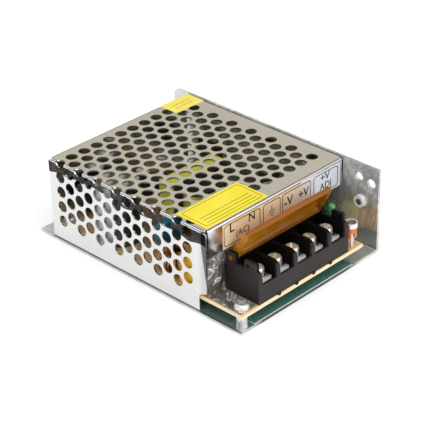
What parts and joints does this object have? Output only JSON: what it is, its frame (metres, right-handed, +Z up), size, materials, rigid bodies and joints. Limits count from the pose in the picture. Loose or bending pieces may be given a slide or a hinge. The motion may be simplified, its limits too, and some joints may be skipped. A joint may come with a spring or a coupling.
{
  "type": "mesh case switching power supply",
  "caption": "Mesh-cased switching power supply: folded open chassis, perforated cover, barrier terminal block with hinged guard, lamp and trimmer.",
  "frame": {"origin": "centre of the underside of the chassis floor", "axes": "+X to the tall chassis wall, +Y from the terminals to the bare rear floor, +Z up"},
  "size_m": [0.078, 0.11, 0.0361],
  "materials": {
    "chassis_sheet": "bright rolled",
    "cover_sheet": "nickel plated, perforated",
    "case_screws": "zinc plated",
    "standoff_metal": "bright",
    "board": "paper laminate, green underside",
    "plated_screws": "nickel plated",
    "clear_film": "clear polyester film",
    "label_white": "printed label",
    "label_yellow": "printed label",
    "black_moulding": "moulded",
    "tinned_metal": "tin plated",
    "amber_plastic": "translucent moulded",
    "white_plastic": "moulded",
    "orange_plastic": "moulded",
    "green_lens": "diffused epoxy",
    "ferrite": "sintered",
    "black_bobbin": "moulded",
    "yellow_tape": "polyester tape",
    "black_sleeve": "shrunk sleeve, aluminium top",
    "yellow_box": "moulded case",
    "fuse_glass": "glass tube, plated caps",
    "dark_disc": "dipped",
    "copper_wire": "enamelled copper",
    "black_epoxy": "moulded, tinned legs",
    "blue_dip": "dipped",
    "grey_pad": "silicone sheet",
    "blue_sleeve": "shrunk sleeve, aluminium top",
    "iron_powder": "coated",
    "tan_coat": "coated, colour bands"
  },
  "bodies": {
    "root": {"chassis": "chassis_sheet", "mesh_cover": "cover_sheet", "cover_screws": "case_screws", "standoffs": "standoff_metal", "pcb": "board", "pcb_screws": "plated_screws", "floor_film": "clear_film", "bay_film": "clear_film", "terminal_label": "label_white", "top_label": "label_yellow", "rear_label": "label_yellow", "terminal_block": "black_moulding", "terminal_contacts": "tinned_metal", "trimmer_base": "orange_plastic", "trimmer_legs": "tinned_metal", "status_lamp": "green_lens", "lamp_leads": "tinned_metal", "transformer_core": "ferrite", "transformer_bobbin": "black_bobbin", "transformer_winding": "yellow_tape", "transformer_tape": "yellow_tape", "bulk_capacitor": "black_sleeve", "mains_capacitor": "yellow_box", "fuse": "fuse_glass", "fuse_clips": "tinned_metal", "thermistor": "dark_disc", "choke_core": "ferrite", "choke_winding": "copper_wire", "bridge_rectifier": "black_epoxy", "surge_arrester": "blue_dip", "disc_capacitors": "blue_dip", "switching_transistor": "black_epoxy", "output_rectifier": "black_epoxy", "insulating_pads": "grey_pad", "device_screws": "case_screws", "output_capacitors": "blue_sleeve", "inductor_core": "iron_powder", "inductor_winding": "copper_wire", "control_chip": "black_epoxy", "optocoupler": "black_epoxy", "power_resistors": "tan_coat", "small_capacitors": "blue_sleeve"},
    "terminal_cover": {"terminal_cover": "amber_plastic"},
    "trimmer_rotor": {"trimmer_rotor": "white_plastic"},
    "clamp_1": {"wire_clamp_1": "tinned_metal", "spring_washer_1": "plated_screws"},
    "screw_1": {"terminal_screw_1": "plated_screws"},
    "clamp_2": {"wire_clamp_2": "tinned_metal", "spring_washer_2": "plated_screws"},
    "screw_2": {"terminal_screw_2": "plated_screws"},
    "clamp_3": {"wire_clamp_3": "tinned_metal", "spring_washer_3": "plated_screws"},
    "screw_3": {"terminal_screw_3": "plated_screws"},
    "clamp_4": {"wire_clamp_4": "tinned_metal", "spring_washer_4": "plated_screws"},
    "screw_4": {"terminal_screw_4": "plated_screws"},
    "clamp_5": {"wire_clamp_5": "tinned_metal", "spring_washer_5": "plated_screws"},
    "screw_5": {"terminal_screw_5": "plated_screws"}
  },
  "joints": [
    {"name": "terminal_cover_hinge", "type": "hinge", "parent": "root", "child": "terminal_cover", "pos_m": [-0.0035, -0.0406, 0.0222], "axis": [-1, 0, 0], "range_deg": [-55, 33]},
    {"name": "trimmer_turn", "type": "hinge", "parent": "root", "child": "trimmer_rotor", "pos_m": [0.0252, -0.0523, 0.017], "axis": [0, 0, 1], "range_deg": [-105, 105]},
    {"name": "clamp_lift_1", "type": "slide", "parent": "root", "child": "clamp_1", "axis": [0, 0, 1], "range_m": [0, 0.003]},
    {"name": "screw_turn_1", "type": "hinge", "parent": "clamp_1", "child": "screw_1", "pos_m": [-0.0227, -0.0478, 0.017], "axis": [0, 0, 1], "range_deg": [0, 1800]},
    {"name": "clamp_lift_2", "type": "slide", "parent": "root", "child": "clamp_2", "axis": [0, 0, 1], "range_m": [0, 0.003]},
    {"name": "screw_turn_2", "type": "hinge", "parent": "clamp_2", "child": "screw_2", "pos_m": [-0.0132, -0.0478, 0.017], "axis": [0, 0, 1], "range_deg": [0, 1800]},
    {"name": "clamp_lift_3", "type": "slide", "parent": "root", "child": "clamp_3", "axis": [0, 0, 1], "range_m": [0, 0.003]},
    {"name": "screw_turn_3", "type": "hinge", "parent": "clamp_3", "child": "screw_3", "pos_m": [-0.0037, -0.0478, 0.017], "axis": [0, 0, 1], "range_deg": [0, 1800]},
    {"name": "clamp_lift_4", "type": "slide", "parent": "root", "child": "clamp_4", "axis": [0, 0, 1], "range_m": [0, 0.003]},
    {"name": "screw_turn_4", "type": "hinge", "parent": "clamp_4", "child": "screw_4", "pos_m": [0.0058, -0.0478, 0.017], "axis": [0, 0, 1], "range_deg": [0, 1800]},
    {"name": "clamp_lift_5", "type": "slide", "parent": "root", "child": "clamp_5", "axis": [0, 0, 1], "range_m": [0, 0.003]},
    {"name": "screw_turn_5", "type": "hinge", "parent": "clamp_5", "child": "screw_5", "pos_m": [0.0153, -0.0478, 0.017], "axis": [0, 0, 1], "range_deg": [0, 1800]}
  ],
  "couplings": [
    {"joint": "screw_turn_1", "follows": "clamp_lift_1", "rad_per_m": 10472},
    {"joint": "screw_turn_2", "follows": "clamp_lift_2", "rad_per_m": 10472},
    {"joint": "screw_turn_3", "follows": "clamp_lift_3", "rad_per_m": 10472},
    {"joint": "screw_turn_4", "follows": "clamp_lift_4", "rad_per_m": 10472},
    {"joint": "screw_turn_5", "follows": "clamp_lift_5", "rad_per_m": 10472}
  ]
}
